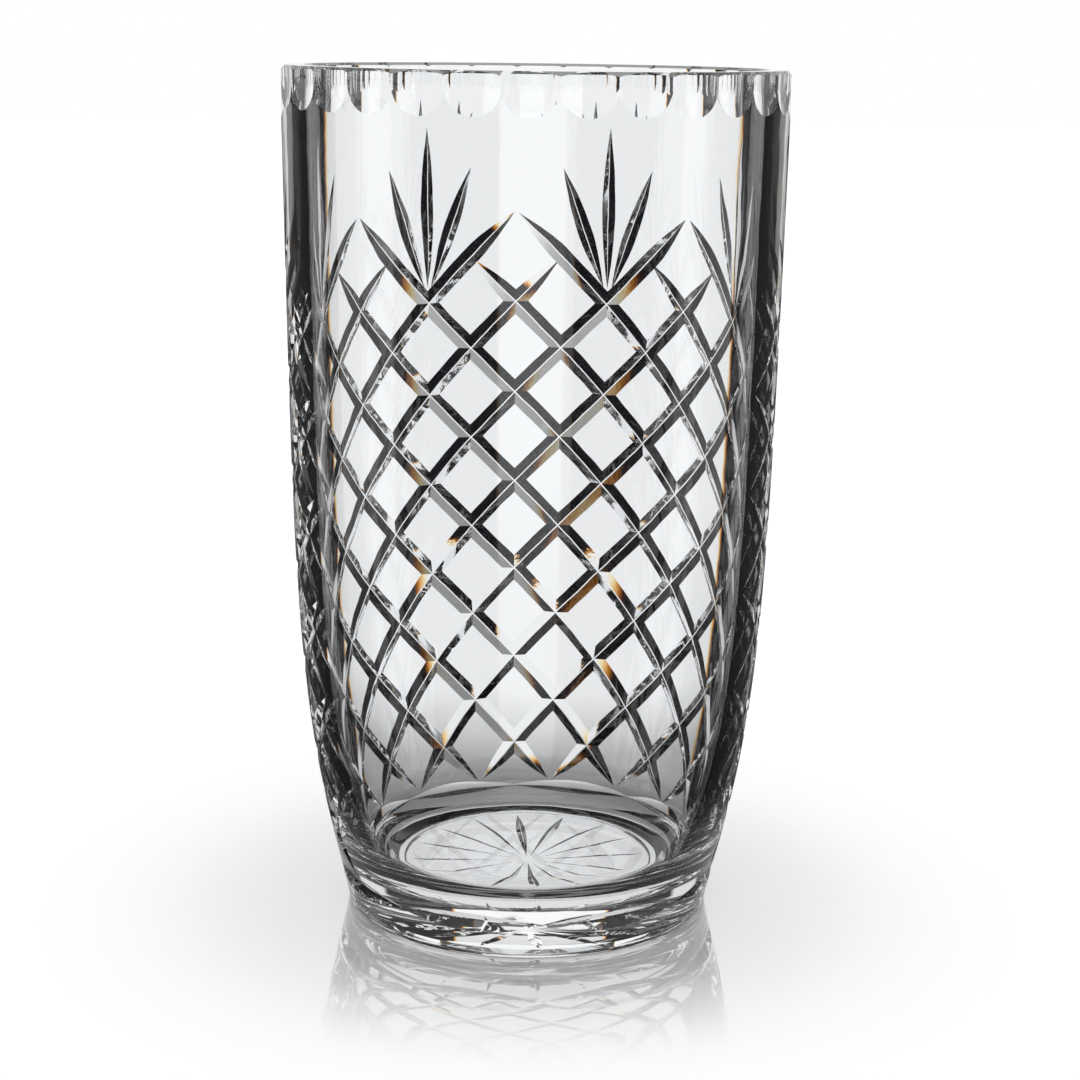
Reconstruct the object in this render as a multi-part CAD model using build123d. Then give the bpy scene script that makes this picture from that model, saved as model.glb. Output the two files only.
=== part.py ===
from build123d import *
import math
import os

# A tall cut crystal vase: one piece of lead crystal, blown, then cut on wheels.
# Millimetres, +Z up, origin at the middle of the foot, plain panel facing -Y.

# Overall sizes
height = 254.0                  # foot to rim, the ten inch size
rim_radius = 74.0               # outside, at the rim
foot_radius = 55.6              # outside, where the side runs out at the foot
straight_taper = 3.4            # how much the side leans in from rim to foot
waist_height = 49.0             # height over which the side curves in to the foot
waist_power = 1.27              # above 1 rounds the curve near the foot

# Wall, cavity and foot
wall = 7.3                      # thickness of the side
floor_thickness = 13.0          # solid crystal under the cavity
corner_extra = 3.0              # how much the side thickens at the cavity floor
corner_height = 18.0            # height over which it does so
corner_radius = 20.0            # inside corner between side and floor
foot_rounding = 2.6             # outside edge of the foot
foot_ring_width = 9.5           # flat ring that the vase stands on
recess_depth = 1.4              # hollow ground inside that ring

# Rim
rim_bevel_height = 1.3
rim_bevel_width = 1.3
rim_inner_bevel = 0.8
flute_count = 30
flute_depth = 1.1               # at the middle of a flute
flute_reach = 12.0              # from the rim down to the round end of a flute

# Diamond lattice of V cuts, open at the plain panel
columns_round = 28              # columns of crossings round the whole vase
lattice_half_columns = 9        # columns each side of the middle of the back
lattice_rows = 13
peaks_below_rim = 46.6
lattice_bottom = 14.5           # height of the lowest points
peak_spacing = 4                # columns from one peak to the next
cut_width = 6.0                 # V cut at the surface
cut_depth = 1.7
point_width = 0.4               # a cut's width where it runs out to a point

# Fans of three pointed cuts over each dip in the top of the lattice
fan_start = 4.8                 # how far above the dip they start
fan_middle_below_rim = 20.0
fan_side_below_rim = 33.0
fan_spread = 13.0               # degrees from the middle cut's tip to a side one's
fan_foot_spread = 1.0           # the same where they start
fan_cut_width = 5.0

# Ring of long pointed cuts round the foot, and the star under it
ring_cuts = 8
ring_height = 12.0
ring_cut_width = 6.0
ring_reach = 1.06               # length of a cut over their spacing, so that the points cross
star_rays = 16
star_hub = 1.5                  # the rays start this far from the middle
star_margin = 2.0               # and stop this far inside the foot ring
star_cut_width = 3.0
star_widest = 0.6               # share of a ray's length at which it is widest

profile_points = 12             # points along each curved side
slope_step = 0.5                # height either side over which a slope is taken
cutter_lift = 1.2               # how far a cutter stands out of the crystal

cut_slope = cut_depth / (cut_width / 2)         # every V cut has the same included angle
column_angle = 360.0 / columns_round
lattice_top = height - peaks_below_rim
row_height = (lattice_top - lattice_bottom) / lattice_rows
bevel_bottom = height - rim_bevel_height


def outer_radius(z):
    """Outside radius of the uncut vase at height z."""
    waist = rim_radius - straight_taper - foot_radius
    curve = math.exp(-((max(z, 0) / waist_height) ** waist_power))
    return rim_radius - straight_taper * (1 - z / height) - waist * curve


def inner_radius(z):
    """Radius of the cavity at height z."""
    above_floor = max(z - floor_thickness, 0)
    return outer_radius(z) - wall - corner_extra * math.exp(-above_floor / corner_height)


ring_outside = outer_radius(0) - foot_rounding
ring_inside = ring_outside - foot_ring_width


def on_side(angle, z, width):
    """Station of a cut on the side of the vase, with angle in degrees from the middle of the back."""
    turn = math.radians(angle)
    rise = 2 * slope_step
    slope = (outer_radius(z + slope_step) - outer_radius(z - slope_step)) / rise
    radius = outer_radius(z)
    point = Vector(radius * math.sin(turn), radius * math.cos(turn), z)
    outward = Vector(math.sin(turn), math.cos(turn), -slope).normalized()
    return point, outward, width


def v_cutter(stations):
    """Solid that cuts a V groove. A station is a point, the outward normal there and the cut's width."""
    sections = []
    for index, (point, outward, width) in enumerate(stations):
        before = stations[max(index - 1, 0)][0]
        after = stations[min(index + 1, len(stations) - 1)][0]
        sideways = (after - before).cross(outward).normalized()
        bottom = point - outward * (cut_slope * width / 2)
        crest = point + outward * cutter_lift
        opening = width / 2 + cutter_lift / cut_slope
        corners = [bottom, crest + sideways * opening, crest - sideways * opening]
        sections.append(Wire.make_polygon(corners, close=True))
    return Solid.make_loft(sections, ruled=True)


def pointed_cut(from_angle, from_z, to_angle, to_z, width, steps):
    """Cut that swells from a point to its full width and back, between two places on the side."""
    stations = []
    for k in range(steps + 1):
        share = k / steps
        angle = from_angle + (to_angle - from_angle) * share
        z = from_z + (to_z - from_z) * share
        stations.append(on_side(angle, z, max(width * math.sin(math.pi * share), point_width)))
    return v_cutter(stations)


def side_curve(radius_at, bottom, top):
    """Smooth profile edge that follows a radius formula, with its points closer together near the foot."""
    shares = [k / profile_points for k in range(profile_points + 1)]
    heights = [bottom + (top - bottom) * share ** 1.5 for share in shares]
    return Spline([(radius_at(z), z) for z in heights])


def vase_blank():
    """The blown vase before it is cut: a turned outside less a turned cavity."""
    bevel_outside = outer_radius(bevel_bottom)
    base_and_rim = Polyline(
        (ring_outside, 0),
        (ring_inside, 0),
        (ring_inside - recess_depth, recess_depth),
        (0, recess_depth),
        (0, height),
        (bevel_outside - rim_bevel_width, height),
        (bevel_outside, bevel_bottom),
    )
    side = side_curve(outer_radius, foot_rounding, bevel_bottom)
    foot_edge = Spline([side @ 0, base_and_rim @ 0], tangents=[-(side % 0), (-1, 0)])
    outside = revolve(Plane.XZ * make_face([base_and_rim, side, foot_edge]), Axis.Z)

    cavity_side = side_curve(inner_radius, floor_thickness, height - rim_inner_bevel)
    rim_edge = (inner_radius(height) + rim_inner_bevel, height)
    cavity_rest = Polyline(cavity_side @ 1, rim_edge, (0, height), (0, floor_thickness), cavity_side @ 0)
    cavity = revolve(Plane.XZ * make_face([cavity_side, cavity_rest]), Axis.Z)
    floor_corner = cavity.edges().filter_by(GeomType.CIRCLE).sort_by(Axis.Z)[0]
    return outside - fillet(floor_corner, corner_radius)


def rim_flutes():
    """Upright hollows round the rim, each with a round lower end."""
    half_width = math.pi * rim_radius / flute_count
    wheel_radius = (half_width ** 2 + flute_depth ** 2) / (2 * flute_depth)
    end_centre = height - flute_reach + half_width
    barrel = extrude(Circle(wheel_radius), height - end_centre + cutter_lift)
    from_axis = outer_radius(end_centre) - flute_depth + wheel_radius
    flute = Pos(0, from_axis, end_centre) * (Sphere(wheel_radius) + barrel)
    return [Rot(0, 0, 360.0 * (k + 0.5) / flute_count) * flute for k in range(flute_count)]


def lattice_line(crossings):
    """One long cut through a run of lattice crossings, pointed at both ends."""
    last = len(crossings) - 1
    stations = []
    for index, (column, row) in enumerate(crossings):
        width = point_width if index in (0, last) else cut_width
        stations.append(on_side(column * column_angle, lattice_top - row * row_height, width))
    return v_cutter(stations)


def lattice_cuts():
    """Two families of slanting cuts, from a zigzag of peaks and dips down to points above the foot."""
    cuts = []
    reach = lattice_half_columns + lattice_rows
    for lean in (1, -1):
        for start in range(-reach, reach + 1, 2):
            first_row = 0 if start % peak_spacing == 0 else 1
            rows = range(first_row, lattice_rows + 1)
            inside = [row for row in rows if abs(start + row) <= lattice_half_columns]
            if len(inside) > 2:
                cuts.append(lattice_line([(lean * (start + row), row) for row in inside]))
    return cuts


def fan_cuts():
    """Three pointed cuts fanned out of each dip in the top of the lattice."""
    start = lattice_top - 2 * row_height + fan_start
    side_tip = height - fan_side_below_rim
    tips = ((-1, side_tip), (0, height - fan_middle_below_rim), (1, side_tip))
    columns = range(-lattice_half_columns, lattice_half_columns + 1)
    dips = [column * column_angle for column in columns if column % peak_spacing == peak_spacing // 2]
    cuts = []
    for dip in dips:
        for side, tip in tips:
            foot = dip + side * fan_foot_spread
            cuts.append(pointed_cut(foot, start, dip + side * fan_spread, tip, fan_cut_width, 4))
    return cuts


def ring_of_cuts():
    """Long level cuts round the foot, each pointed at both ends."""
    spacing = 360.0 / ring_cuts
    half = spacing * ring_reach / 2
    middles = [spacing * (cut + 0.5) for cut in range(ring_cuts)]
    return [pointed_cut(m - half, ring_height, m + half, ring_height, ring_cut_width, 8) for m in middles]


def star_cuts():
    """Rays of the star cut into the underside, inside the foot ring."""
    reach = ring_inside - recess_depth - star_margin
    widest = star_hub + star_widest * (reach - star_hub)
    down = Vector(0, 0, -1)
    radii_and_widths = ((star_hub, point_width), (widest, star_cut_width), (reach, point_width))
    ray = v_cutter([(Vector(0, radius, recess_depth), down, width) for radius, width in radii_and_widths])
    return [Rot(0, 0, 360.0 * k / star_rays) * ray for k in range(star_rays)]


vase_body = vase_blank()
for cutters in (rim_flutes(), ring_of_cuts(), star_cuts(), fan_cuts(), lattice_cuts()):
    vase_body = vase_body - cutters

os.makedirs("parts", exist_ok=True)
export_step(vase_body, "parts/vase_body.step")
print("vase_body:", len(vase_body.faces()), "faces,", round(vase_body.volume), "mm3")
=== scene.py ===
# %% [markdown]
# # A cut crystal vase
# This is a lesson in modelling cut glass. The vase is one thick piece of lead crystal. A glassblower
# made it, and a cutter ground a lattice of V cuts, fans, a star and rim flutes into it and polished them.
# Clear glass has no picture of its own: all that the eye sees is the room, bent by its surfaces. So the
# lesson is mostly about exact surfaces and about what stands round the vase.

# %% Load the frame
import math
import bpy
import numpy as np
from mathutils import Matrix, Vector
from mathutils.geometry import delaunay_2d_cdt
from mathutils.kdtree import KDTree


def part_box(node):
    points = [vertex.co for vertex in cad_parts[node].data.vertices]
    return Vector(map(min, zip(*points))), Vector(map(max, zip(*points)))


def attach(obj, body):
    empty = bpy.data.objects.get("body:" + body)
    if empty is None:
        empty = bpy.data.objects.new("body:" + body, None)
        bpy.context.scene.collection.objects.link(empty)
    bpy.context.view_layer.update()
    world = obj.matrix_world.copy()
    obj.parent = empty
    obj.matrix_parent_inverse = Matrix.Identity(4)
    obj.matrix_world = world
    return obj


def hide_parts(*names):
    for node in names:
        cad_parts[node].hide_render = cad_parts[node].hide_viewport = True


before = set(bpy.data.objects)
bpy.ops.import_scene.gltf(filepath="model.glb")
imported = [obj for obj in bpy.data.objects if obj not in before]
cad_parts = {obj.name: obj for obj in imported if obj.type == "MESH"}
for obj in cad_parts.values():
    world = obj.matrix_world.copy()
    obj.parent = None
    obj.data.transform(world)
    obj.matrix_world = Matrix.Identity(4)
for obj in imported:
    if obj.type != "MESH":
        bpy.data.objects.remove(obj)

for name in ("Cube", "Light", "Camera"):
    if name in bpy.data.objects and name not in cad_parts:
        bpy.data.objects.remove(bpy.data.objects[name])
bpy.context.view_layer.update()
mm = 0.001
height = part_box("vase_body")[1][2] / mm
print("vase height", round(height, 1), "mm")

# %% [markdown]
# ## The numbers of the vase
# A turned shape is one curve spun round an axis, so the outside and the cavity are each a radius that
# depends on height. The sizes are the cutter's own, in millimetres, and the height comes from the frame.

# %% Sizes
rim_radius = 74.0
foot_radius = 55.6
straight_taper = 3.4
waist_height = 49.0
waist_power = 1.27
wall = 7.3
floor_thickness = 13.0
corner_extra = 3.0
corner_height = 18.0
corner_radius = 20.0
foot_rounding = 2.6
foot_ring_width = 9.5
recess_depth = 1.4
rim_bevel_height = 1.3
rim_bevel_width = 1.3
rim_inner_bevel = 0.8
bevel_bottom = height - rim_bevel_height


def outer_radius(z):
    """Outside radius of the uncut vase at height z."""
    waist = rim_radius - straight_taper - foot_radius
    curve = np.exp(-((np.maximum(z, 0) / waist_height) ** waist_power))
    return rim_radius - straight_taper * (1 - z / height) - waist * curve


def inner_radius(z):
    """Radius of the cavity at height z, before its corner is rounded."""
    above_floor = np.maximum(z - floor_thickness, 0)
    return outer_radius(z) - wall - corner_extra * np.exp(-above_floor / corner_height)


for z in (0.0, height / 2, height):
    print("radius", round(float(outer_radius(z)), 1), "mm at height", round(z, 1), "mm")

# %% [markdown]
# ## Cuts as depths
# A wheel with a V edge leaves two flat walls and a narrow bottom that the polishing leaves slightly
# rounded. Every cut here is a rule that says, for a place on the side of the vase, how far it lies across
# the cut and how wide the cut is there. The depth follows from those two. A place on the side is an angle
# in radians, measured from the middle of the back, and a height.

# %% Cut rules
cut_width = 6.0
cut_depth = 1.7
cut_slope = cut_depth / (cut_width / 2)
bottom_half = 0.2            # half the polished bottom of a full cut
bottom_share = bottom_half / cut_width
edge_shares = (-0.5, -bottom_share, bottom_share, 0.5)      # borders and bottom edges, in cut widths
bottom_reach = 1.02          # a place counts as bottom this little past the bottom's edge


def lens(share):
    """Width of a pointed end: 0 at the point and 1 where the cut is full."""
    return np.sin(np.pi / 2 * np.clip(share, 0, 1))


class Cut:
    """A straight V cut on the unrolled side, with a rule for its width from start (0) to end (1)."""

    def __init__(self, start, end, width_rule):
        self.start, self.end = np.array(start, float), np.array(end, float)
        self.width_rule = width_rule

    def measure(self, angle, z):
        """How far along the cut a place is, its signed distance across, and the width there."""
        radius = outer_radius(z)
        run = (self.end[0] - self.start[0]) * radius
        rise = self.end[1] - self.start[1]
        x = (angle - self.start[0]) * radius
        y = z - self.start[1]
        size = np.hypot(run, rise)
        along = (x * run + y * rise) / size ** 2
        across = (x * rise - y * run) / size
        return along, across, self.width_rule(along)

    def wall_depth(self, angle, z, side):
        """Depth of one wall, side -1 or 1, or of the bottom, side 0, carried on past its edges."""
        along, across, width = self.measure(angle, z)
        flat = bottom_half * width / cut_width
        return cut_slope * (width / 2 - (side * across if side else flat))

    def depth(self, angle, z):
        along, across, width = self.measure(angle, z)
        flat = bottom_half * width / cut_width
        depth = cut_slope * (width / 2 - np.maximum(np.abs(across), flat))
        return np.where((along < -0.001) | (along > 1.001), -1.0, depth), np.where(
            np.abs(across) <= flat * bottom_reach, 0, np.sign(across))

    def place(self, along, across):
        """The place that lies so far along and across the cut."""
        def miss(angle, z):
            found = self.measure(angle, z)
            return np.array([found[0] - along, found[1] - across])
        return solve(miss, self.start + (self.end - self.start) * along)


def solve(miss, guess):
    """Newton's method for a place on the side where both numbers of miss are 0."""
    spot = np.array(guess, float)
    for _ in range(12):
        value = miss(*spot)
        if np.abs(value).max() < 1e-9:
            break
        step = np.array([1e-6, 1e-4])
        slope = np.array([(miss(spot[0] + step[0], spot[1]) - value) / step[0],
                          (miss(spot[0], spot[1] + step[1]) - value) / step[1]]).T
        spot = spot - np.linalg.solve(slope, value)
    return spot


print("walls of a cut lean", round(math.degrees(math.atan(cut_slope)), 1), "degrees from the side")

# %% [markdown]
# ## The lattice
# Two families of slanting cuts cross in columns and rows. They start on a zigzag of peaks and dips and
# run out in points above the foot. Where two full cuts cross, four ridges run from the corners of the
# crossing to its bottom. Where a cut starts inside another one, only two ridges are left.

# %% Lattice rules
columns_round = 28
lattice_half_columns = 9
lattice_rows = 13
peaks_below_rim = 46.6
lattice_bottom = 14.5
peak_spacing = 4
point_gap = 0.05             # share of a row that a point stays clear of its crossing
lattice_top = height - peaks_below_rim
row_height = (lattice_top - lattice_bottom) / lattice_rows
column_angle = 2 * math.pi / columns_round


def lattice_lines():
    """The lines of both families: {(lean, start): (first row, last row, Cut)}."""
    lines = {}
    reach = lattice_half_columns + lattice_rows
    for lean in (1, -1):
        for start in range(-reach, reach + 1, 2):
            first = 0 if start % peak_spacing == 0 else 1
            rows = [row for row in range(first, lattice_rows + 1) if abs(start + row) <= lattice_half_columns]
            if len(rows) < 3:
                continue
            ends = [(lean * (start + row) * column_angle, lattice_top - row * row_height)
                    for row in (rows[0], rows[-1])]
            count = len(rows) - 1

            def width_rule(along, count=count):
                near, far = along * count, (1 - along) * count
                clear = 1 - point_gap
                return cut_width * lens((near - point_gap) / clear) * lens((far - point_gap) / clear)

            lines[lean, start] = (rows[0], rows[-1], Cut(*ends, width_rule))
    return lines


lattice = lattice_lines()
print("lattice cuts:", len(lattice))

# %% [markdown]
# A plan of the unrolled side collects the borders, bottoms and ridges of every cut as paths. The paths are
# later kept as edges of the mesh, so that every cut has crisp edges.

# %% Plan of the side
apex_guess = 0.16            # rows from a cut's start to where it comes out of the wall, about


class Plan:
    """Points and edges on the unrolled side, in millimetres at the rim's radius."""

    def __init__(self):
        self.spots, self.edges, self.index = [], set(), {}

    def point(self, spot):
        flat = (spot[0] * rim_radius, spot[1])
        key = (round(flat[0], 3), round(flat[1], 3))
        if key not in self.index:
            self.index[key] = len(self.spots)
            self.spots.append(flat)
        return self.index[key]

    def path(self, spots):
        numbers = [self.point(spot) for spot in spots]
        self.edges.update((a, b) for a, b in zip(numbers, numbers[1:]) if a != b)


def half_width(cut, spot, bottom):
    """Half the width of a cut, or of its bottom, at a place."""
    width = cut.measure(*spot)[2]
    return width * (bottom_share if bottom else 0.5)


def crossing(a, side_a, b, side_b, bottom, guess):
    """Where an edge of one cut meets an edge of another."""
    def miss(angle, z):
        spot = (angle, z)
        return np.array([side_a * a.measure(*spot)[1] - half_width(a, spot, bottom),
                         side_b * b.measure(*spot)[1] - half_width(b, spot, bottom)])
    return solve(miss, guess)


def apex(full, side, tip, guess):
    """Where the bottom of a cut comes out of the wall of the cut in which it starts."""
    def miss(angle, z):
        return np.array([tip.measure(angle, z)[1],
                         full.wall_depth(angle, z, side) - tip.wall_depth(angle, z, 0)])
    return solve(miss, guess)


# %% Paths of one cut
def draw_cut(plan, cut, marks, starts, ends, step):
    """Adds the borders and bottom edges of a cut, broken where another cut runs through it."""
    for side in (-1, 1):
        for bottom in (False, True):
            broken = sorted(marks.get((side, bottom), []), key=lambda mark: mark[0])
            stops = [starts[side, bottom], *broken, ends]
            for (near, spot_near), (far, spot_far) in zip(stops[0::2], stops[1::2]):
                count = max(1, round((far - near) / step))
                between = []
                for k in range(1, count):
                    along = near + (far - near) * k / count
                    width = float(cut.width_rule(along))
                    half = width * (bottom_share if bottom else 0.5)
                    between.append(cut.place(along, side * half))
                plan.path([spot_near, *between, spot_far])


def tip_of(cut, rows, at_end):
    """A cut's own pointed end, as its share along the cut and its place."""
    along = 1 - point_gap / rows if at_end else point_gap / rows
    return along, cut.start + (cut.end - cut.start) * along


# %% Paths of the lattice
def draw_lattice(plan):
    """Adds every lattice cut and the ridges of every crossing."""
    marks = {key: {} for key in lattice}
    starts = {}
    for key, (first, last, cut) in lattice.items():
        tip = tip_of(cut, last - first, False)
        starts[key] = {(side, bottom): tip for side in (-1, 1) for bottom in (False, True)}
    for (lean, start), (first, last, cut) in lattice.items():
        if lean < 0:
            continue
        for row in range(first, last + 1):
            column = start + row
            other = (-1, -column - row)
            if other not in lattice or not lattice[other][0] <= row <= lattice[other][1]:
                continue
            other_first, other_last, other_cut = lattice[other]
            node = np.array([column * column_angle, lattice_top - row * row_height])
            full = first < row < last
            other_full = other_first < row < other_last
            if full and other_full:
                for side in (-1, 1):
                    for other_side in (-1, 1):
                        ridge = []
                        for bottom in (False, True):
                            spot = crossing(cut, side, other_cut, other_side, bottom, node)
                            ridge.append(spot)
                            for k, c, s in (((1, start), cut, side), (other, other_cut, other_side)):
                                mark = (float(c.measure(*spot)[0]), spot)
                                marks[k].setdefault((s, bottom), []).append(mark)
                        plan.path(ridge)
            elif full or other_full:
                through, tipped = ((1, start), other) if full else (other, (1, start))
                a, b = lattice[through][2], lattice[tipped][2]
                rows = lattice[tipped][1] - lattice[tipped][0]
                guess = b.start + (b.end - b.start) * apex_guess / rows
                side = int(np.sign(a.measure(*guess)[1]))
                top = apex(a, side, b, guess)
                for tip_side in (-1, 1):
                    spot = crossing(a, side, b, tip_side, False, guess)
                    plan.path([spot, top])
                    mark = (float(a.measure(*spot)[0]), spot)
                    marks[through].setdefault((side, False), []).append(mark)
                    starts[tipped][tip_side, False] = (float(b.measure(*spot)[0]), spot)
                    starts[tipped][tip_side, True] = (float(b.measure(*top)[0]), top)
    for key, (first, last, cut) in lattice.items():
        rows = last - first
        draw_cut(plan, cut, marks[key], starts[key], tip_of(cut, rows, True), 0.2 / rows)


plan = Plan()
draw_lattice(plan)
print("plan after the lattice:", len(plan.spots), "points,", len(plan.edges), "edges")

# %% [markdown]
# ## Fans
# Three long pointed cuts stand over each dip. Each swells to its middle and runs out at both ends.

# %% Fan rules
fan_start = 4.8
fan_middle_below_rim = 20.0
fan_side_below_rim = 33.0
fan_spread = math.radians(13.0)
fan_foot_spread = math.radians(1.0)
fan_cut_width = 5.0


def fan_width(along):
    return fan_cut_width * np.sin(np.pi * np.clip(along, 0, 1))


def fan_cuts():
    """The three cuts of each fan, as Cut rules."""
    foot = lattice_top - 2 * row_height + fan_start
    side_tip = height - fan_side_below_rim
    tips = ((-1, side_tip), (0, height - fan_middle_below_rim), (1, side_tip))
    columns = range(-lattice_half_columns, lattice_half_columns + 1)
    dips = [column * column_angle for column in columns if column % peak_spacing == peak_spacing // 2]
    return [Cut((dip + side * fan_foot_spread, foot), (dip + side * fan_spread, tip), fan_width)
            for dip in dips for side, tip in tips]


fans = fan_cuts()
for cut in fans:
    ends = {(side, bottom): (0.0, cut.start) for side in (-1, 1) for bottom in (False, True)}
    draw_cut(plan, cut, {}, ends, (1.0, cut.end), 1 / 16)
side_cuts = [cut for _, _, cut in lattice.values()] + fans
print("fan cuts:", len(fans))

# %% [markdown]
# ## Rim flutes and the ring round the foot
# The flutes are hollows that a broad wheel with a round edge leaves, so their section is an arc and
# their lower end is round. Neighbours meet in a sharp upright edge. The ring is a row of long level V cuts
# whose points run into each other.

# %% Flute and ring rules
flute_count = 30
flute_depth = 1.1
flute_reach = 12.0
flute_angle = 2 * math.pi / flute_count
flute_half = math.pi * rim_radius / flute_count
flute_wheel = (flute_half ** 2 + flute_depth ** 2) / (2 * flute_depth)
flute_end = height - flute_reach + flute_half
ring_cuts = 8
ring_height = 12.0
ring_cut_width = 6.0
ring_reach = 1.06
ring_angle = 2 * math.pi / ring_cuts


def flute_depth_at(angle, z, number=None):
    """Depth of the nearest flute, or of one flute carried on past its edges."""
    number = np.floor(angle / flute_angle) if number is None else number
    x = (angle - (number + 0.5) * flute_angle) * rim_radius
    down = np.minimum(z - flute_end, 0)
    return flute_depth - (x ** 2 + down ** 2) / (2 * flute_wheel)


def ring_width(angle):
    share = (angle / ring_angle) % 1.0
    spare = (ring_reach - 1) / 2
    return ring_cut_width * np.sin(np.pi * (share + spare) / ring_reach)


def ring_depth(angle, z, side=None):
    """Depth of the ring cut, or of one of its walls or its bottom carried on."""
    width, across = ring_width(angle), z - ring_height
    flat = bottom_half * width / cut_width
    reach = np.maximum(np.abs(across), flat) if side is None else (side * across if side else flat)
    return cut_slope * (width / 2 - reach)


def bevel_edge(angle):
    """Height at which the rim's bevel cuts the side, which rises where a flute hollows it."""
    return bevel_bottom + np.maximum(flute_depth_at(angle, height), 0) * rim_bevel_height / rim_bevel_width


print("a flute is", round(2 * flute_half, 1), "mm wide, from a wheel of radius", round(flute_wheel, 1), "mm")

# %% [markdown]
# ## The mesh of the side
# The plan is filled with triangles that keep every path as an edge. Plain crystal gets an even grid of
# extra points so that it stays round. Each triangle belongs to one ground surface, and each of its corners
# gets that surface's exact normal, so that light bends as it does in a polished facet.

# %% Side surface
columns_per_flute = 12
columns = flute_count * columns_per_flute
seam = -math.pi + flute_angle
band_bottom = 7.0            # below this the vase is plain and turned
grid_step = 2.4              # between rows of extra points
grid_columns = 192
flute_grid_step = 1.6        # the same where the flutes are
ring_stride = 3              # the ring's long edges need only each third column
plain_spare = 0.7            # extra points keep this far from a cut
ring_angles = seam + 2 * math.pi * np.arange(columns + 1) / columns


def slope_at(z):
    return (outer_radius(z + 0.01) - outer_radius(z - 0.01)) / 0.02


def side_point(angle, z, depth):
    """Place in space of a point on the side, sunk by depth along the outward normal."""
    radius, slope = outer_radius(z), slope_at(z)
    size = np.sqrt(1 + slope ** 2)
    out = radius - depth / size
    return np.stack([out * np.sin(angle), out * np.cos(angle), z + depth * slope / size], -1)


def normals_of(point_at, angle, z):
    """Outward normals of a surface given as a function of angle and height."""
    a, h = 1e-5, 1e-3
    round_step = point_at(angle + a, z) - point_at(angle - a, z)
    up_step = point_at(angle, z + h) - point_at(angle, z - h)
    normal = np.cross(up_step, round_step)
    return normal / np.linalg.norm(normal, axis=-1, keepdims=True)


def draw_ring_and_flutes(plan):
    seams = (seam, seam + 2 * math.pi)
    for sign in (-1, 1):
        for share in (0.5, bottom_share):
            plan.path([(a, ring_height + sign * share * ring_width(a)) for a in ring_angles[::ring_stride]])
    for k in range(ring_cuts):
        angle = (k - ring_cuts // 2 + 1) * ring_angle
        width = ring_width(angle)
        plan.path([(angle, ring_height + width * share) for share in edge_shares])
    for k in range(flute_count + 1):
        cusp = seam + k * flute_angle
        plan.path([(cusp, z) for z in np.linspace(flute_end, bevel_edge(cusp), 5)])
    for k in range(flute_count):
        middle = seam + (k + 0.5) * flute_angle
        plan.path([(middle - flute_half / rim_radius * math.cos(t), flute_end - flute_half * math.sin(t))
                   for t in np.linspace(0, math.pi, 19)])
    plan.path([(a, band_bottom) for a in ring_angles])
    plan.path([(a, bevel_edge(a)) for a in ring_angles])
    for edge in seams:
        width = ring_width(edge)
        fixed = [band_bottom, flute_end] + [ring_height + width * share for share in edge_shares]
        between = np.arange(band_bottom, flute_end, grid_step)
        levels = fixed + [z for z in between if min(abs(z - f) for f in fixed) > grid_step / 4]
        plan.path([(edge, z) for z in sorted(levels)])


draw_ring_and_flutes(plan)
print("plan with the ring and flutes:", len(plan.spots), "points")

# %% Grid of the plain crystal
rows_of_grid = np.arange(band_bottom + grid_step / 2, flute_end - flute_half, grid_step)
grid = []
for number, z in enumerate(rows_of_grid):
    angles = seam + 2 * math.pi * (np.arange(grid_columns) + 0.5 * (number % 2) + 0.25) / grid_columns
    grid.append(np.stack([angles, np.full(grid_columns, z)], -1))
for z in np.arange(flute_end - flute_half + flute_grid_step / 2, height, flute_grid_step):
    keep = ring_angles[:-1][np.arange(columns) % columns_per_flute != 0]
    grid.append(np.stack([keep, np.full(len(keep), z)], -1))
grid = np.concatenate(grid)


def clear_of_cuts(spots, spare):
    """True for places more than spare millimetres outside every edge."""
    angle, z = spots[:, 0], spots[:, 1]
    clear = z < bevel_edge(angle) - spare
    for cut in side_cuts:
        along, across, width = cut.measure(angle, z)
        clear &= (np.abs(across) > width / 2 + spare) | (along < -0.03) | (along > 1.03)
    clear &= np.abs(z - ring_height) > ring_width(angle) / 2 + spare
    number = np.floor(angle / flute_angle)
    x = (angle - (number + 0.5) * flute_angle) * rim_radius
    reach = np.hypot(x, np.minimum(z - flute_end, 0))
    clear &= (np.abs(reach - flute_half) > 0.35) | (z > flute_end)
    clear &= np.abs(np.abs(x) - flute_half) > 0.3
    return clear


grid = grid[clear_of_cuts(grid, plain_spare)]
print("extra points in plain crystal:", len(grid))

# %% Triangles of the side
flat_points = [Vector(spot) for spot in plan.spots] + [Vector((a * rim_radius, z)) for a, z in grid]
corners, _, triangles, _, _, _ = delaunay_2d_cdt(flat_points, list(plan.edges), [], 0, 1e-4)
corners = np.array([tuple(corner) for corner in corners])
triangles = np.array([tuple(t) for t in triangles])
side_angle, side_z = corners[:, 0] / rim_radius, corners[:, 1]
middle_angle, middle_z = side_angle[triangles].mean(1), side_z[triangles].mean(1)
inside = middle_z < bevel_edge(middle_angle) + 0.02
triangles, middle_angle, middle_z = triangles[inside], middle_angle[inside], middle_z[inside]
print("side triangles:", len(triangles), "corners:", len(corners))

# %% [markdown]
# ## Which surface a triangle belongs to
# A triangle belongs to the cut that goes deepest at its middle. Its three corners then get the normals of
# that cut's own wall or bottom, carried on past the edge, so that neighbours don't smear into each other.

# %% Deepest cut
UNCUT, FLUTE, RING = -1, 1000, 1001     # owners that aren't one of the side's cuts, which count from 0


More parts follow.
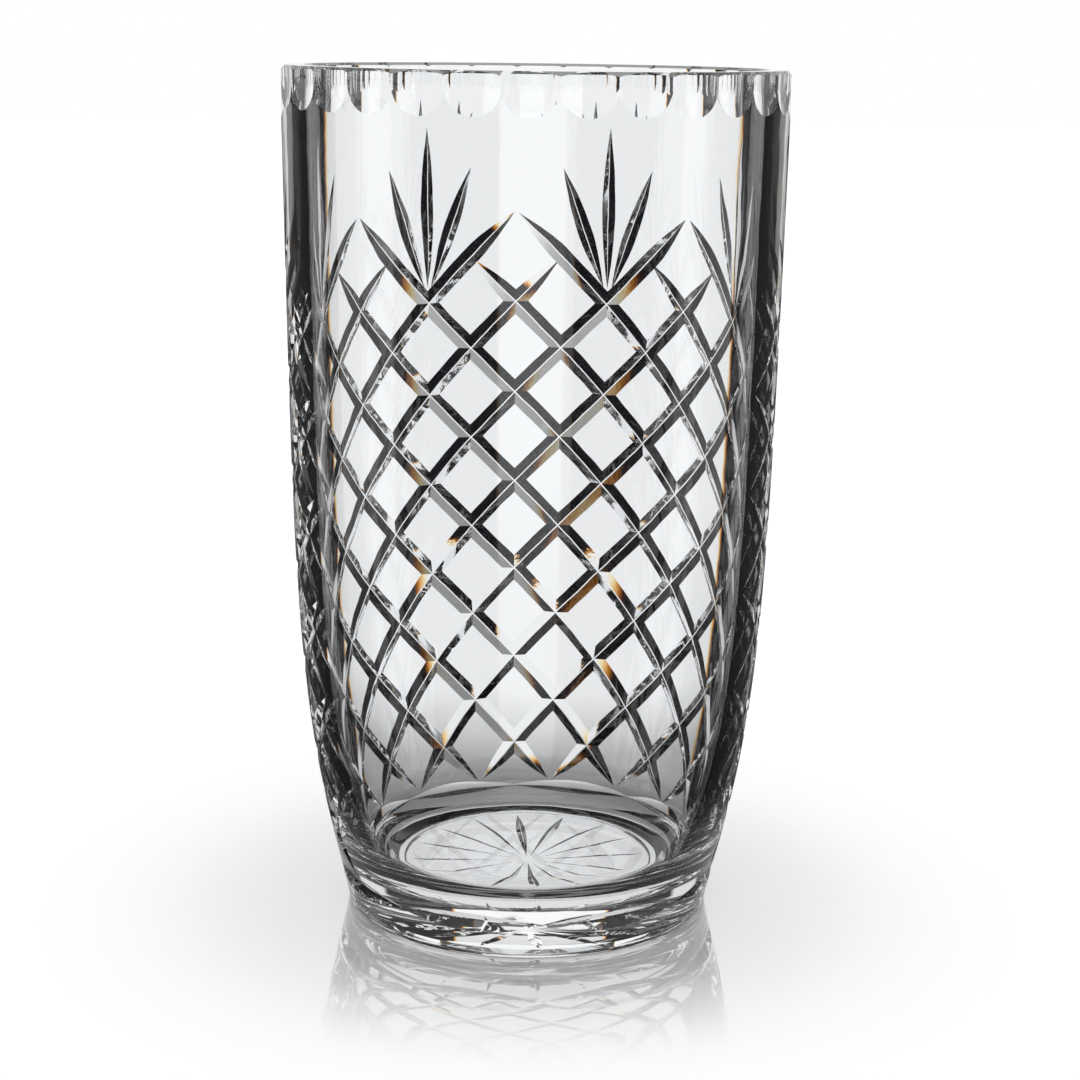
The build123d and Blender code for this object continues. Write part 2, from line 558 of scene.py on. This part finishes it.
def deepest(angle, z):
    """Greatest depth of any cut at each place, with the cut's number and the side of it that is met."""
    best = np.zeros_like(z)
    owner = np.full(z.shape, UNCUT)
    wall_side = np.zeros(z.shape, int)
    for number, cut in enumerate(side_cuts):
        depth, side = cut.depth(angle, z)
        better = depth > best
        best, owner = np.where(better, depth, best), np.where(better, number, owner)
        wall_side = np.where(better, side, wall_side)
    depth = flute_depth_at(angle, z)
    better = (depth > best) & (z > flute_end - flute_half)
    best, owner = np.where(better, depth, best), np.where(better, FLUTE, owner)
    wall_side = np.where(better, np.floor(angle / flute_angle), wall_side)
    depth = ring_depth(angle, z)
    better = depth > best
    best, owner = np.where(better, depth, best), np.where(better, RING, owner)
    flat = np.abs(z - ring_height) <= bottom_half * ring_width(angle) / cut_width * bottom_reach
    wall_side = np.where(better, np.where(flat, 0, np.sign(z - ring_height)), wall_side)
    return best, owner, wall_side


side_depth = np.maximum(deepest(side_angle, side_z)[0], 0)
middle_depth, owners, wall_sides = deepest(middle_angle, middle_z)
owners[(middle_depth < 0.02) & (owners < FLUTE)] = UNCUT
side_points = side_point(side_angle, side_z, side_depth)
side_normals = np.zeros((len(triangles), 3, 3))
print("deepest cut:", round(float(side_depth.max()), 2), "mm")


# %% Normals of the side
def surface_of(owner, wall_side):
    """The surface that a cut leaves, as a function of angle and height."""
    if owner == UNCUT:
        return lambda angle, z: side_point(angle, z, 0.0)
    if owner == FLUTE:
        return lambda angle, z: side_point(angle, z, flute_depth_at(angle, z, wall_side))
    if owner == RING:
        return lambda angle, z: side_point(angle, z, ring_depth(angle, z, wall_side))
    return lambda angle, z: side_point(angle, z, side_cuts[owner].wall_depth(angle, z, wall_side))


for owner, wall_side in sorted(set(zip(owners.tolist(), wall_sides.tolist()))):
    chosen = (owners == owner) & (wall_sides == wall_side)
    angle, z = side_angle[triangles[chosen]], side_z[triangles[chosen]]
    surface = surface_of(owner, wall_side)
    if owner == RING:
        # at a crossing of two ring cuts the width rule has a crease, so it is read just inside the triangle
        angle = angle + 0.02 * (angle.mean(1, keepdims=True) - angle)
    side_normals[chosen] = normals_of(surface, angle, z)
print("ground surfaces:", len(set(zip(owners.tolist(), wall_sides.tolist()))))

# %% [markdown]
# ## Turned surfaces
# The rim, the foot and the cavity are turned: a profile spun round the axis. The profile is a list of
# points with the direction in which the surface faces at each, worked out from the curve itself.

# %% Shell
weld_distance = 0.004        # corners this close, in millimetres, are one


class Shell:
    """Collects faces with a normal for each corner, and joins corners that lie in one place."""

    def __init__(self):
        self.points, self.faces, self.normals, self.finish = [], [], [], []
        self.total = 0

    def add(self, points, faces, normals, finish):
        """points (n, 3) in mm, faces (m, k) of numbers into them, normals (m, k, 3)."""
        first, second, third = (points[faces[:, k]] for k in range(3))
        facing = np.cross(second - first, third - first)
        if (facing * normals.mean(1)).sum() < 0:
            faces, normals = faces[:, ::-1], normals[:, ::-1]
        self.points.append(points)
        self.faces.append(faces + self.total)
        self.normals.append(normals)
        self.finish.append(np.broadcast_to(finish, len(faces)))
        self.total += len(points)

    def mesh(self, name):
        points = np.concatenate(self.points)
        tree = KDTree(len(points))
        for number, point in enumerate(points):
            tree.insert(point, number)
        tree.balance()
        lowest = [min(found[1] for found in tree.find_range(point, weld_distance)) for point in points]
        first, same = np.unique(lowest, return_inverse=True)
        mesh = bpy.data.meshes.new(name)
        kept, kept_normals, kept_finish = [], [], []
        for faces, normals, finish in zip(self.faces, self.normals, self.finish):
            joined = same[faces]
            for face, normal, kind in zip(joined.tolist(), normals.tolist(), finish.tolist()):
                ring = [k for k in range(len(face)) if face[k] != face[k - 1]]
                if len(ring) > 2:
                    kept.append([face[k] for k in ring])
                    kept_normals.extend(normal[k] for k in ring)
                    kept_finish.append(kind)
        mesh.from_pydata((points[first] * mm).tolist(), [], kept)
        mesh.polygons.foreach_set("use_smooth", [True] * len(kept))
        mesh.polygons.foreach_set("material_index", kept_finish)
        mesh.normals_split_custom_set(kept_normals)
        mesh.update()
        return mesh


# %% Turned strips
def turned(shell, profile, faces_to, finish, angles=ring_angles):
    """Spins a profile of (radius, z) points, with the (outward, up) direction at each, round the axis."""
    profile, faces_to = np.array(profile, float), np.array(faces_to, float)
    count = len(angles)
    sin, cos = np.sin(angles), np.cos(angles)
    points = np.stack([np.outer(profile[:, 0], sin), np.outer(profile[:, 0], cos),
                       np.repeat(profile[:, 1:], count, 1)], -1)
    facing = faces_to / np.linalg.norm(faces_to, axis=1, keepdims=True)
    normals = np.stack([np.outer(facing[:, 0], sin), np.outer(facing[:, 0], cos),
                        np.repeat(facing[:, 1:], count, 1)], -1)
    row, column = np.meshgrid(np.arange(len(profile) - 1), np.arange(count - 1), indexing="ij")
    a = (row * count + column).ravel()
    faces = np.stack([a, a + 1, a + 1 + count, a + count], -1)
    shell.add(points.reshape(-1, 3), faces, normals.reshape(-1, 3)[faces], finish)


# %% Side and rim bevel in the shell
BLOWN, CUT = 0, 1            # numbers of the two finishes
shell = Shell()
shell.add(side_points, triangles, side_normals, np.where(owners == UNCUT, BLOWN, CUT))
bevel_outside = float(outer_radius(bevel_bottom))
rim_outside = bevel_outside - rim_bevel_width
rim_inside = float(inner_radius(height)) + rim_inner_bevel
edge_z = bevel_edge(ring_angles)
edge_points = side_point(ring_angles, edge_z, np.maximum(flute_depth_at(ring_angles, edge_z), 0))
top_points = np.stack([rim_outside * np.sin(ring_angles), rim_outside * np.cos(ring_angles),
                       np.full(columns + 1, height)], -1)
column = np.arange(columns)
faces = np.stack([column, column + 1, column + columns + 2, column + columns + 1], -1)
lean = np.array([rim_bevel_height, rim_bevel_width]) / math.hypot(rim_bevel_height, rim_bevel_width)
bevel_normals = np.stack([lean[0] * np.sin(ring_angles), lean[0] * np.cos(ring_angles),
                          np.full(columns + 1, lean[1])], -1)
shell.add(np.concatenate([edge_points, top_points]), faces, np.concatenate([bevel_normals] * 2)[faces], CUT)
print("corners with the side and bevel:", shell.total)

# %% [markdown]
# ## Lip, cavity and foot
# The lip is ground flat with a bevel on each edge. The cavity was never cut, so it keeps the blower's
# surface down to its rounded corner and its flat floor.

# %% Lip and cavity
turned(shell, [(rim_outside, height), (rim_inside, height)], [(0, 1), (0, 1)], CUT)
cavity_top = height - rim_inner_bevel
turned(shell, [(rim_inside, height), (float(inner_radius(cavity_top)), cavity_top)], [(-1, 1), (-1, 1)], CUT)


def inner_slope(z):
    return (inner_radius(z + 0.01) - inner_radius(z - 0.01)) / 0.02


def corner_fit():
    """Where the rounded inside corner leaves the side, and the middle of its curve."""
    z = floor_thickness + corner_radius
    for _ in range(20):
        slope = inner_slope(z)
        size = math.hypot(1, slope)
        z = floor_thickness + corner_radius - corner_radius * slope / size
    radius = float(inner_radius(z)) - corner_radius / size
    return z, radius, math.atan2(slope, 1)


leave_z, corner_middle, lean_angle = corner_fit()
print("the corner leaves the side", round(leave_z, 1), "mm up")
cavity_heights = leave_z + (cavity_top - leave_z) * np.linspace(1, 0, 40) ** 1.3
cavity = [(float(inner_radius(z)), z) for z in cavity_heights]
cavity_faces = [(-1, float(inner_slope(z))) for _, z in cavity]
for t in np.linspace(-lean_angle, -math.pi / 2, 12)[1:]:
    z = floor_thickness + corner_radius * (1 + math.sin(t))
    cavity.append((corner_middle + corner_radius * math.cos(t), z))
    cavity_faces.append((-math.cos(t), -math.sin(t)))
turned(shell, cavity, cavity_faces, BLOWN)
floor_rings = [(corner_middle * share, floor_thickness) for share in (1, 0.75, 0.5, 0.25, 0.0)]
turned(shell, floor_rings, [(0, 1)] * 5, BLOWN)

# %% Foot
ring_outside = float(outer_radius(0.0)) - foot_rounding
ring_inside = ring_outside - foot_ring_width
star_edge = ring_inside - recess_depth
below = [(float(outer_radius(z)), z) for z in np.linspace(band_bottom, foot_rounding, 4)]
below_faces = [(1, -float(slope_at(z))) for _, z in below]
start, slope = below[-1], float(slope_at(foot_rounding))
pull = np.array([start[0] - slope * foot_rounding * 0.6, foot_rounding * 0.4])
knee = np.array([ring_outside + foot_rounding * 0.4, 0.0])
ends = [np.array(start), pull, knee, np.array([ring_outside, 0.0])]
for t in np.linspace(0, 1, 9)[1:]:
    weights = [(1 - t) ** 3, 3 * t * (1 - t) ** 2, 3 * t ** 2 * (1 - t), t ** 3]
    spot = sum(w * e for w, e in zip(weights, ends))
    run = 3 * ((1 - t) ** 2 * (ends[1] - ends[0]) + 2 * t * (1 - t) * (ends[2] - ends[1])
               + t ** 2 * (ends[3] - ends[2]))
    below.append(tuple(spot))
    below_faces.append((-run[1], run[0]) if t < 1 else (0, -1))
turned(shell, below, below_faces, BLOWN)
turned(shell, [(ring_outside, 0), (ring_inside, 0)], [(0, -1)] * 2, CUT)
turned(shell, [(ring_inside, 0), (star_edge, recess_depth)], [(-1, -1)] * 2, CUT)
print("corners so far:", shell.total)

# %% [markdown]
# ## The star
# Sixteen V cuts under the foot, widest past their middle and pointed at both ends. They are drawn on a
# flat plan, like the side.

# %% Star
star_rays = 16
star_hub = 1.5
star_margin = 2.0
star_cut_width = 3.0
star_widest = 0.6
star_power = math.log(0.5) / math.log(star_widest)
ray_angle = 2 * math.pi / star_rays


def ray_width(radius):
    share = np.clip((radius - star_hub) / (star_edge - star_margin - star_hub), 0, 1)
    return star_cut_width * np.sin(np.pi * share ** star_power)


def star_surface(x, y, number=None, side=None):
    """Height of the underside at a place, or of one wall of one ray carried on past its edges."""
    number = np.round(np.arctan2(x, y) / ray_angle) if number is None else number
    along = x * np.sin(number * ray_angle) + y * np.cos(number * ray_angle)
    across = x * np.cos(number * ray_angle) - y * np.sin(number * ray_angle)
    width = ray_width(along)
    flat = bottom_half * width / cut_width
    reach = np.maximum(np.abs(across), flat) if side is None else (side * across if side else flat)
    met = np.where(np.abs(across) <= flat * bottom_reach, 0, np.sign(across))
    return cut_slope * (width / 2 - reach), met, number


print("rays reach", round(star_edge - star_margin, 1), "mm from the middle")

# %% Plan of the star
star_plan, star_index, star_edges = [], {}, set()


def star_path(spots):
    numbers = []
    for x, y in spots:
        key = (round(x, 3), round(y, 3))
        if key not in star_index:
            star_index[key] = len(star_plan)
            star_plan.append(Vector((x, y)))
        numbers.append(star_index[key])
    star_edges.update((a, b) for a, b in zip(numbers, numbers[1:]) if a != b)


star_path([(star_edge * math.sin(a), star_edge * math.cos(a)) for a in ring_angles])
for ray in range(star_rays):
    turn = ray * ray_angle
    out, over = np.array([math.sin(turn), math.cos(turn)]), np.array([math.cos(turn), -math.sin(turn)])
    stations = star_hub + (star_edge - star_margin - star_hub) * np.linspace(0, 1, 25)
    for share in edge_shares:
        star_path([tuple(out * r + over * ray_width(r) * share) for r in stations])
print("plan of the star:", len(star_plan), "points")

# %% Triangles of the star
flat_corners, _, star_triangles, _, _, _ = delaunay_2d_cdt(star_plan, list(star_edges), [], 0, 1e-4)
flat_corners = np.array([tuple(c) for c in flat_corners])
star_triangles = np.array([tuple(t) for t in star_triangles])
depth = np.maximum(star_surface(flat_corners[:, 0], flat_corners[:, 1])[0], 0)
middles = flat_corners[star_triangles].mean(1)
middle_depth, sides, rays = star_surface(middles[:, 0], middles[:, 1])
in_ray = middle_depth > 0.01
star_points = np.stack([flat_corners[:, 0], flat_corners[:, 1], recess_depth + depth], -1)
star_normals = np.zeros((len(star_triangles), 3, 3))
star_normals[...] = (0, 0, -1)
for ray, side in sorted(set(zip(rays[in_ray].tolist(), sides[in_ray].tolist()))):
    chosen = in_ray & (rays == ray) & (sides == side)
    x, y = flat_corners[star_triangles[chosen]][..., 0], flat_corners[star_triangles[chosen]][..., 1]
    step = 1e-4
    slope_x = (star_surface(x + step, y, ray, side)[0] - star_surface(x - step, y, ray, side)[0]) / (2 * step)
    slope_y = (star_surface(x, y + step, ray, side)[0] - star_surface(x, y - step, ray, side)[0]) / (2 * step)
    normal = np.stack([slope_x, slope_y, -np.ones_like(x)], -1)
    star_normals[chosen] = normal / np.linalg.norm(normal, axis=-1, keepdims=True)
shell.add(star_points, star_triangles, star_normals, np.where(in_ray, CUT, BLOWN))
print("star triangles:", len(star_triangles))

# %% [markdown]
# ## One closed piece
# All the surfaces meet edge to edge, so the shell is closed. A renderer needs that to know where light goes
# into the glass and where it comes out. Counting the edges that lie on one face only is the test.

# %% The vase
vase = bpy.data.objects.new("cut_crystal_vase", shell.mesh("cut_crystal_vase"))
bpy.context.collection.objects.link(vase)
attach(vase, "root")
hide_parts("vase_body")
edge_uses = np.zeros(len(vase.data.edges), int)
np.add.at(edge_uses, [loop.edge_index for loop in vase.data.loops], 1)
print("faces:", len(vase.data.polygons), "open edges:", int((edge_uses != 2).sum()))

# %% [markdown]
# ## Lead crystal
# Lead crystal bends light more than window glass, with an index of about 1.55, and has no green in it. The
# vase shows one material in two finishes. The blower's surface was shaped hot and never ground, so long
# soft waves are left in it, and they bend what is seen through the wall a little. The cutter's surfaces
# were ground on wheels and polished, so they are flat and crisp, with only faint short marks. A Principled
# shader with full transmission does for both, and the marks in their bump tell them apart.

# %% Colours and nodes
def srgb(code):
    """Linear colour of an sRGB hex code."""
    parts = [int(code[k:k + 2], 16) / 255 for k in (1, 3, 5)]
    return [p / 12.92 if p <= 0.04045 else ((p + 0.055) / 1.055) ** 2.4 for p in parts] + [1.0]


def grey(share):
    """A plain share as a colour, for ramps that hold a strength or a width."""
    return [share] * 3 + [1.0]


def add_node(tree, kind, inputs=None, stops=(), **settings):
    """Adds a node with its settings, its inputs (a value, or an output to link) and its ramp's stops."""
    node = tree.nodes.new(kind)
    for name, value in settings.items():
        setattr(node, name, value)
    for name, value in (inputs or {}).items():
        if isinstance(value, bpy.types.NodeSocket):
            tree.links.new(value, node.inputs[name])
        else:
            node.inputs[name].default_value = value
    for number, (position, colour) in enumerate(stops):
        elements = node.color_ramp.elements
        if number == 0:
            elements.remove(elements[0])
            elements[0].position, elements[0].color = position, colour
        else:
            elements.new(position).color = colour
    return node


print("a mid grey of #808080 is", round(srgb("#808080")[0], 3), "in linear light")

# %% Crystal in two finishes
crystal_index = 1.55
blown_wave = (22.0, 0.05)        # millimetres across and deep
polish_mark = (1.4, 0.006)       # coarser than real polishing marks, which are too fine to show


def crystal(name, mark):
    """Clear lead crystal whose surface carries marks of a size and a depth."""
    material = bpy.data.materials.new(name)
    material.use_nodes = True
    tree = material.node_tree
    shader = tree.nodes["Principled BSDF"]
    shader.inputs["Base Color"].default_value = srgb("#FDFEFF")
    shader.inputs["Transmission Weight"].default_value = 1.0
    shader.inputs["IOR"].default_value = crystal_index
    shader.inputs["Roughness"].default_value = 0.0
    size, depth = mark
    place = add_node(tree, "ShaderNodeTexCoord").outputs["Object"]
    marks = add_node(tree, "ShaderNodeTexNoise", {"Vector": place, "Scale": 1 / (size * mm), "Detail": 2.0})
    bump = add_node(tree, "ShaderNodeBump", {"Height": marks.outputs["Fac"], "Distance": depth * mm})
    tree.links.new(bump.outputs["Normal"], shader.inputs["Normal"])
    print(name, "has marks", size, "mm across and", depth, "mm deep")
    return material


vase.data.materials.append(crystal("blown_lead_crystal", blown_wave))
vase.data.materials.append(crystal("wheel_cut_polished_lead_crystal", polish_mark))

# %% [markdown]
# ## The floor
# The vase stands on a white board with a thin gloss coat. Near the foot the board mirrors the vase, and the
# mirror image fades out within a few centimetres. The share of gloss follows the distance from the vase's
# axis, which isn't how a real coat works but gives that soft end. Rays through the glass don't see the
# board at all, and mirrors see it darker, because otherwise it fills the cuts with white.

# %% Floor
FACTOR, A, B, RESULT = 0, 6, 7, 2       # sockets of a Mix node that mixes colours
floor_reach = 6.0                       # metres from the middle to each edge
gloss_share = 0.62                      # at the foot
gloss_from, gloss_to = 0.055, 0.135     # metres from the axis, from full gloss to none
board_glow = 0.12                       # lifts the board to white for the camera


def bare_material(name):
    """A new material with nothing in its node tree."""
    material = bpy.data.materials.new(name)
    material.use_nodes = True
    material.node_tree.nodes.clear()
    return material


def studio_sheet(name, corners, material):
    """A flat piece of the studio through corners given in metres."""
    mesh = bpy.data.meshes.new(name)
    mesh.from_pydata(corners, [], [tuple(range(len(corners)))])
    sheet = bpy.data.objects.new(name, mesh)
    bpy.context.collection.objects.link(sheet)
    sheet.data.materials.append(material)
    print(name, "is", round(sheet.dimensions.x, 3), "m wide")
    return sheet


board = bare_material("glossy_white_board")
tree = board.node_tree
place = add_node(tree, "ShaderNodeTexCoord").outputs["Object"]
from_axis = add_node(tree, "ShaderNodeVectorMath", {0: place}, operation="LENGTH").outputs["Value"]
fade = {"Value": from_axis, "From Min": gloss_from, "From Max": gloss_to,
        "To Min": gloss_share, "To Max": 0.0}
near = add_node(tree, "ShaderNodeMapRange", fade, interpolation_type="SMOOTHERSTEP").outputs["Result"]
ray = add_node(tree, "ShaderNodeLightPath").outputs
paint = {FACTOR: ray["Is Glossy Ray"], A: srgb("#FFFFFF"), B: srgb("#505050")}
seen_as = add_node(tree, "ShaderNodeMix", paint, data_type="RGBA").outputs[RESULT]
matt = add_node(tree, "ShaderNodeBsdfDiffuse", {"Color": seen_as}).outputs[0]
lift_light = add_node(tree, "ShaderNodeMath", {0: ray["Is Camera Ray"], 1: board_glow}, operation="MULTIPLY")
glow = add_node(tree, "ShaderNodeEmission", {"Strength": lift_light.outputs[0]}).outputs[0]
lit = add_node(tree, "ShaderNodeAddShader", {0: matt, 1: glow}).outputs[0]
gloss = add_node(tree, "ShaderNodeBsdfGlossy", {"Roughness": 0.03}).outputs[0]
both = add_node(tree, "ShaderNodeMixShader", {0: near, 1: lit, 2: gloss}).outputs[0]
add_node(tree, "ShaderNodeOutputMaterial", {"Surface": both})
square = ((-1, -1), (1, -1), (1, 1), (-1, 1))
floor = studio_sheet("floor", [(x * floor_reach, y * floor_reach, 0) for x, y in square], board)
floor.visible_transmission = False

# %% [markdown]
# ## A bright card under the foot
# The star is seen from above, through the floor of the vase. With nothing bright under it, it would be a
# grey disc, so a round card that glows lies just below the foot and ends under the resting ring.

# %% Card
card_radius = 47.0
card_drop = 0.3              # below the floor's face, in millimetres
paper = bare_material("bright_card")
glow = add_node(paper.node_tree, "ShaderNodeEmission", {"Strength": 0.8}).outputs[0]
add_node(paper.node_tree, "ShaderNodeOutputMaterial", {"Surface": glow})
turns = np.linspace(0, 2 * math.pi, 64, endpoint=False)
rim = [(card_radius * mm * math.cos(a), card_radius * mm * math.sin(a), -card_drop * mm) for a in turns]
studio_sheet("card_under_foot", rim, paper)

# %% [markdown]
# ## The studio
# Those who light cut glass put a bright field behind it and dark cards beside it, so that each edge is
# drawn in black. The world does the same, but only for rays that have been through the glass: they see
# white windows with dark between them, and rays that were turned back inside the glass see a darker copy.
# The camera and the floor see plain white. No real room looks like that. It is a stand-in that was tuned for
# one heading and repeats every 90 degrees, and the glass looks different in any other room.

# %% Directions
toward = math.radians(4.0)   # heading of the middle of the first window
quarter = math.pi / 4        # from the middle of a window to half way to the next
world = bpy.data.worlds.new("studio")
bpy.context.scene.world = world
world.use_nodes = True
tree = world.node_tree
tree.nodes.clear()
direction = add_node(tree, "ShaderNodeTexCoord").outputs["Generated"]
parts = add_node(tree, "ShaderNodeSeparateXYZ", {"Vector": direction}).outputs
compass = add_node(tree, "ShaderNodeMath", {0: parts["X"], 1: parts["Y"]}, operation="ARCTAN2").outputs[0]
heading = add_node(tree, "ShaderNodeMath", {0: compass, 1: toward}, operation="SUBTRACT").outputs[0]
wrapped = add_node(tree, "ShaderNodeMath", {0: heading, 1: quarter, 2: -quarter}, operation="WRAP").outputs[0]
off_middle = add_node(tree, "ShaderNodeMath", {0: wrapped}, operation="ABSOLUTE").outputs[0]
off_window = add_node(tree, "ShaderNodeMath", {0: off_middle, 1: quarter}, operation="DIVIDE").outputs[0]
climb = add_node(tree, "ShaderNodeMath", {0: parts["Z"]}, operation="ARCSINE").outputs[0]
from_below = add_node(tree, "ShaderNodeMath", {0: climb, 1: math.pi / 2}, operation="ADD").outputs[0]
elevation = add_node(tree, "ShaderNodeMath", {0: from_below, 1: math.pi}, operation="DIVIDE").outputs[0]


def aside(degrees):
    """Place on a ramp that runs from the middle of a window to half way to the next."""
    return degrees / 45


def lift(degrees):
    """Place on a ramp that runs from straight down to straight up."""
    return (degrees + 90) / 180


print("level is at", lift(0), "on the ramps of elevation")

# %% Windows
fringe_at = 0.25             # where a window's edge lies on the ramp of its colours
high_degrees, low_degrees = 10.5, 18
high_width, low_width = grey(aside(high_degrees)), grey(aside(low_degrees))


def window(width):
    """White up to a width, then a painted warm fringe like the one that crystal gives an edge, then dark."""
    ratio = add_node(tree, "ShaderNodeMath", {0: off_window, 1: width}, operation="DIVIDE").outputs[0]
    share = add_node(tree, "ShaderNodeMath", {0: ratio, 1: fringe_at}, operation="MULTIPLY").outputs[0]
    colours = [(0.0, "#FFFFFF"), (0.241, "#FFFFFF"), (0.247, "#FFE9A8"), (0.252, "#E08A28"),
               (0.257, "#3A1A10"), (0.262, "#101014"), (1.0, "#101014")]
    stops = [(position, srgb(code)) for position, code in colours]
    return add_node(tree, "ShaderNodeValToRGB", {"Fac": share}, stops).outputs["Color"]


width_stops = [(0.0, low_width), (lift(-1.5), low_width), (lift(0.0), high_width), (1.0, high_width)]
width = add_node(tree, "ShaderNodeValToRGB", {"Fac": elevation}, width_stops).outputs["Color"]
# a paler strip half way between two windows shows up in the outer edges of the vase
between_stops = [(0.0, grey(0.0)), (aside(37), grey(0.0)), (aside(39), grey(0.8)), (1.0, grey(0.8))]
between = add_node(tree, "ShaderNodeValToRGB", {"Fac": off_window}, between_stops).outputs["Color"]
print("half widths in degrees above and below level:", high_degrees, low_degrees)

# %% The room that the glass sees
light = {FACTOR: 1.0, A: window(width), B: between}
open_to = add_node(tree, "ShaderNodeMix", light, data_type="RGBA", blend_type="LIGHTEN").outputs[RESULT]
room_heights = [(0.0, 0.5), (lift(-40), 0.2), (lift(-25), 0.376), (lift(-21), 0.5), (lift(-17.5), 1.0),
                (lift(45), 1.0), (lift(55), 0.3), (1.0, 0.3)]
room_stops = [(at, grey(b)) for at, b in room_heights]
upward = add_node(tree, "ShaderNodeValToRGB", {"Fac": elevation}, room_stops)
light = {FACTOR: 1.0, A: open_to, B: upward.outputs["Color"]}
room = add_node(tree, "ShaderNodeMix", light, data_type="RGBA", blend_type="MULTIPLY").outputs[RESULT]
dark_heights = [(0.0, 0.25), (lift(-30), 0.05), (lift(-18), 0.2), (lift(-14), 1.0),
                (lift(22), 1.0), (lift(30), 0.15), (1.0, 0.1)]
dark_stops = [(at, grey(b)) for at, b in dark_heights]
dark_upward = add_node(tree, "ShaderNodeValToRGB", {"Fac": elevation}, dark_stops)
light = {FACTOR: 1.0, A: window(aside(low_degrees)), B: dark_upward.outputs["Color"]}
dark_room = add_node(tree, "ShaderNodeMix", light, data_type="RGBA", blend_type="MULTIPLY").outputs[RESULT]
print("brightness stops in the two rooms:", len(room_heights), "and", len(dark_heights))

# %% Who sees which room
ray = add_node(tree, "ShaderNodeLightPath").outputs
turned_back = add_node(tree, "ShaderNodeMath", {0: ray["Glossy Depth"], 1: 1.0}, operation="MINIMUM")
choice = {FACTOR: turned_back.outputs[0], A: room, B: dark_room}
through = add_node(tree, "ShaderNodeMix", choice, data_type="RGBA").outputs[RESULT]
choice = {FACTOR: ray["Is Transmission Ray"], A: srgb("#FFFFFF"), B: through}
shown = add_node(tree, "ShaderNodeMix", choice, data_type="RGBA").outputs[RESULT]
background = add_node(tree, "ShaderNodeBackground", {"Color": shown}).outputs[0]
add_node(tree, "ShaderNodeOutputWorld", {"Surface": background})
print("nodes in the world:", len(tree.nodes))

# %% [markdown]
# ## The camera
# The camera stands two thirds of a metre away, a little above the rim, and looks down by 13 degrees, so
# that the rim shows as a thin ellipse and the star as a wide one. A ray that crosses two cut walls meets
# many surfaces, so light is followed through more of them than usual.

# %% Camera
camera_distance = 658.8      # millimetres from the vase's axis
camera_height = 264.4
camera_azimuth = math.radians(-5.0)
camera_pitch = math.radians(12.93)
camera_roll = math.radians(0.72)
camera_yaw = math.radians(0.24)
camera_lens = 74.0567
scene = bpy.context.scene
camera_data = bpy.data.cameras.new("camera")
camera_data.sensor_width = 36.0
camera_data.lens = camera_lens
camera_data.clip_start = 0.01
camera = bpy.data.objects.new("camera", camera_data)
bpy.context.collection.objects.link(camera)
scene.camera = camera
back, side = camera_distance * math.cos(camera_azimuth), camera_distance * math.sin(camera_azimuth)
camera.location = (side * mm, -back * mm, camera_height * mm)
heading_turn = Matrix.Rotation(camera_azimuth - camera_yaw, 4, "Z")
down_turn = Matrix.Rotation(math.pi / 2 - camera_pitch, 4, "X")
camera.rotation_euler = (heading_turn @ down_turn @ Matrix.Rotation(camera_roll, 4, "Z")).to_euler()
print("camera at", [round(value, 3) for value in camera.location], "m")

# %% Light through many surfaces
scene.view_settings.view_transform = "Standard"
scene.cycles.max_bounces = 32
scene.cycles.transmission_bounces = 32
scene.cycles.glossy_bounces = 16
scene.cycles.transparent_max_bounces = 16
print("bounces followed:", scene.cycles.max_bounces)

# %% Update the scene
bpy.context.view_layer.update()
